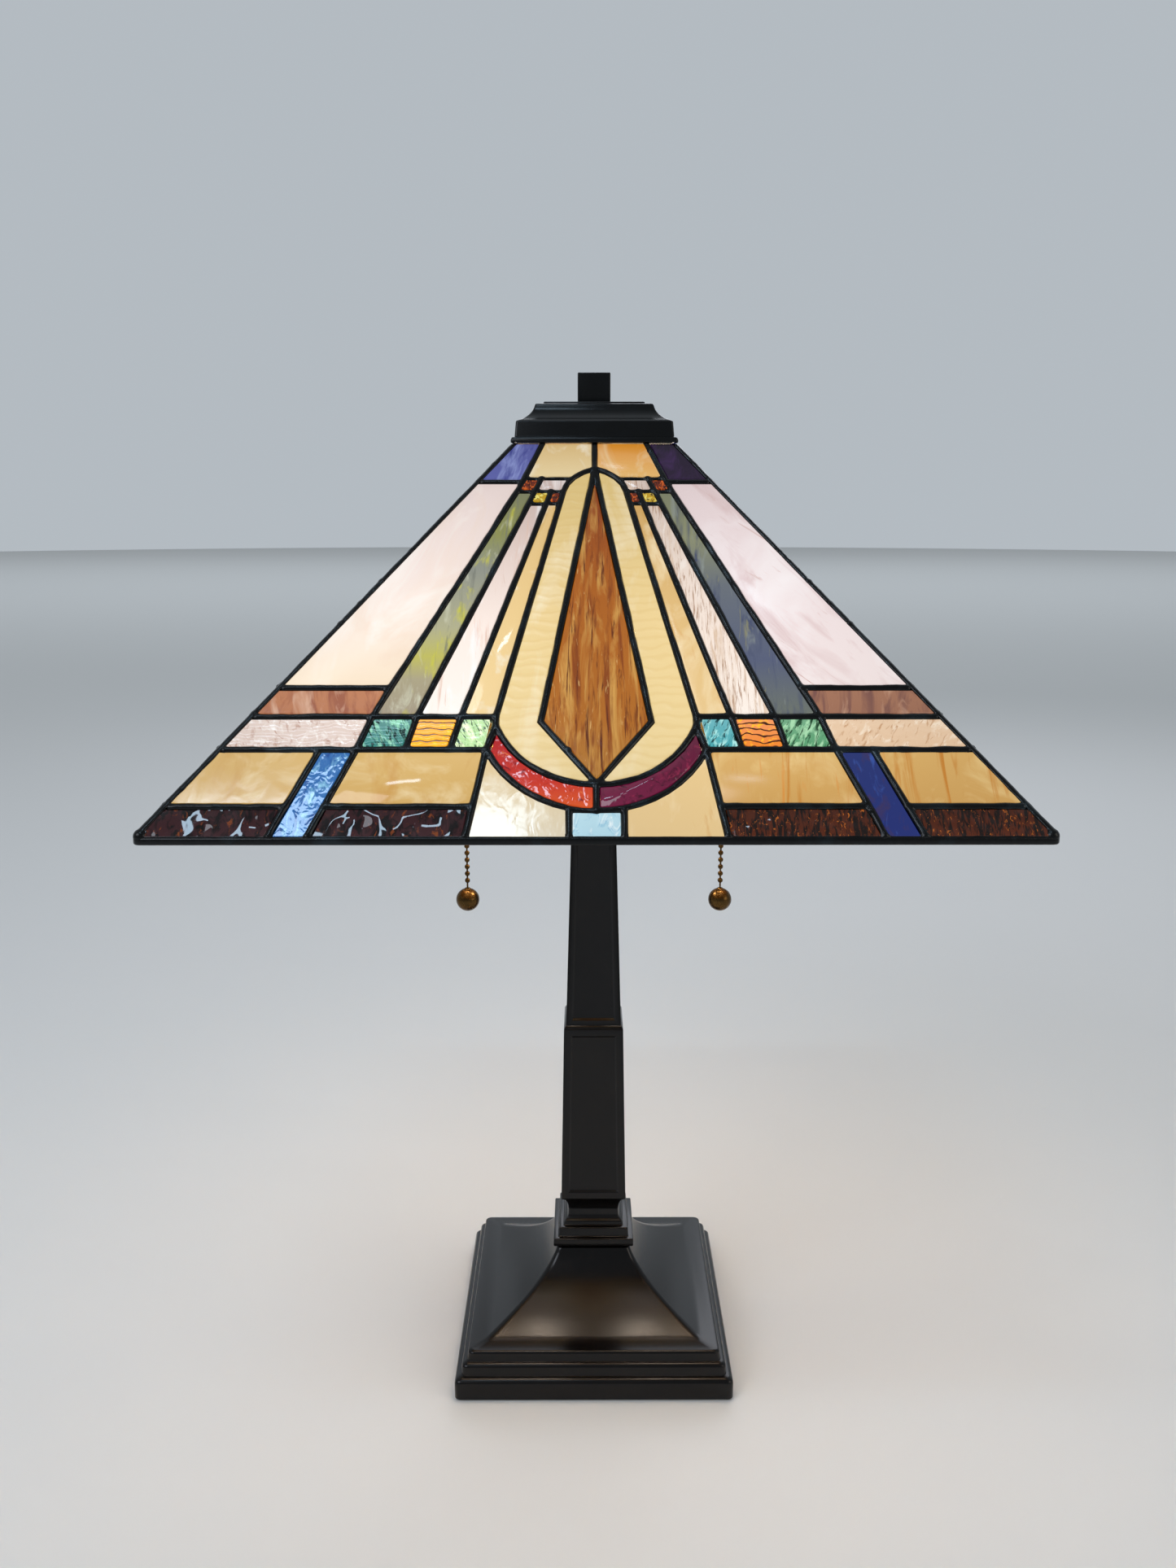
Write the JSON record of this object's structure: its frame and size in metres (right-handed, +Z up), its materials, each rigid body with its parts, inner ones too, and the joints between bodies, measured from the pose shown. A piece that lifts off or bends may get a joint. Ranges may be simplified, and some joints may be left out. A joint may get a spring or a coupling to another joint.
{
  "type": "table lamp",
  "caption": "Square stained glass pyramid table lamp on a tapered dark bronze post, with pull-chain sockets under the shade.",
  "frame": {"origin": "centre of the felt pad's underside, on the table", "axes": "+Z up along the post; -Y is the front; +X is the lamp's right as seen from the front"},
  "size_m": [0.406, 0.406, 0.5855],
  "materials": {
    "bronze": "dark bronze paint, satin",
    "cap_black": "near-black bronze, satin",
    "steel": "zinc plated",
    "iron": "plain cast",
    "felt": "green felt",
    "bushing": "matte",
    "pipe": "threaded, brass plated",
    "brass": "antique brass",
    "chain_brass": "antique brass",
    "liner": "dark fibre",
    "bulb_glass": "frosted",
    "bulb_base": "rolled thread",
    "solder": "tin solder with black patina",
    "glass_lozenge": "streaky amber opalescent",
    "glass_arch": "rippled cream opalescent",
    "glass_caramel": "caramel opalescent",
    "glass_corner_violet": "violet opalescent",
    "glass_pale_panel": "pale pink and cream wispy opalescent",
    "glass_red_jewel": "orange-red hammered",
    "glass_gold_jewel": "golden opalescent",
    "glass_moss_strip": "olive grey streaky",
    "glass_pink_opal": "pink and white wispy opalescent",
    "glass_russet_bar": "russet streaky",
    "glass_teal_tile": "teal and green streaky",
    "glass_orange_tile": "orange rippled",
    "glass_crescent": "red streaky",
    "glass_blue_strip": "cobalt mottled",
    "glass_dark_bar": "dark brown hammered",
    "glass_sky_tile": "pale blue opalescent"
  },
  "bodies": {
    "stand": {"foot_casting": "bronze", "post_collar": "bronze", "lower_post": "bronze", "upper_post": "bronze", "post_top_plate": "bronze", "ballast_screws": "steel", "pipe_lock_washer": "steel", "pipe_nuts": "steel", "ballast_plate": "iron", "felt_pad": "felt", "cord_bushing": "bushing", "switch_bodies": "bushing", "lamp_pipe": "pipe", "riser_rod": "pipe", "cluster_body": "brass", "cluster_cover": "brass", "cluster_arms": "brass", "riser_lock_nuts": "brass", "socket_caps": "brass", "socket_shells": "brass", "screw_shells": "brass", "centre_contacts": "brass", "chain_bells": "brass", "socket_liners": "liner"},
    "shade": {"solder_front": "solder", "solder_right": "solder", "solder_back": "solder", "solder_left": "solder", "hip_beads": "solder", "rim_band": "bronze", "top_ring": "brass", "shade_spider": "brass", "shade_cap": "cap_black", "glass_lozenge": "glass_lozenge", "glass_arch": "glass_arch", "glass_caramel": "glass_caramel", "glass_corner_violet": "glass_corner_violet", "glass_pale_panel": "glass_pale_panel", "glass_red_jewel": "glass_red_jewel", "glass_gold_jewel": "glass_gold_jewel", "glass_moss_strip": "glass_moss_strip", "glass_pink_opal": "glass_pink_opal", "glass_russet_bar": "glass_russet_bar", "glass_teal_tile": "glass_teal_tile", "glass_orange_tile": "glass_orange_tile", "glass_crescent": "glass_crescent", "glass_blue_strip": "glass_blue_strip", "glass_dark_bar": "glass_dark_bar", "glass_sky_tile": "glass_sky_tile"},
    "finial": {"finial": "cap_black"},
    "left_bulb": {"left_bulb_glass": "bulb_glass", "left_bulb_base": "bulb_base"},
    "right_bulb": {"right_bulb_glass": "bulb_glass", "right_bulb_base": "bulb_base"},
    "left_pull": {"left_pull_link": "chain_brass"},
    "left_chain": {"left_bead_chain": "chain_brass", "left_pull_ball": "chain_brass"},
    "right_pull": {"right_pull_link": "chain_brass"},
    "right_chain": {"right_bead_chain": "chain_brass", "right_pull_ball": "chain_brass"}
  },
  "joints": [
    {"name": "shade_turn", "type": "hinge", "parent": "stand", "child": "shade", "pos_m": [0, 0, 0.5], "axis": [0, 0, 1], "continuous": true},
    {"name": "finial_turn", "type": "hinge", "parent": "stand", "child": "finial", "pos_m": [0, 0, 0.57], "axis": [0, 0, 1], "range_deg": [0, 720]},
    {"name": "left_bulb_turn", "type": "hinge", "parent": "stand", "child": "left_bulb", "pos_m": [-0.073, 0, 0.408], "axis": [0, 0, 1], "range_deg": [0, 360]},
    {"name": "left_pull", "type": "slide", "parent": "stand", "child": "left_pull", "axis": [0, 0, -1], "range_m": [0, 0.008], "stiffness_N_per_m": 120},
    {"name": "left_chain_swing", "type": "hinge", "parent": "left_pull", "child": "left_chain", "pos_m": [-0.073, -0.029, 0.36], "axis": [0, 1, 0], "range_deg": [-28, 28]},
    {"name": "right_bulb_turn", "type": "hinge", "parent": "stand", "child": "right_bulb", "pos_m": [0.073, 0, 0.408], "axis": [0, 0, 1], "range_deg": [0, 360]},
    {"name": "right_pull", "type": "slide", "parent": "stand", "child": "right_pull", "axis": [0, 0, -1], "range_m": [0, 0.008], "stiffness_N_per_m": 120},
    {"name": "right_chain_swing", "type": "hinge", "parent": "right_pull", "child": "right_chain", "pos_m": [0.073, -0.029, 0.36], "axis": [0, 1, 0], "range_deg": [-28, 28]}
  ]
}
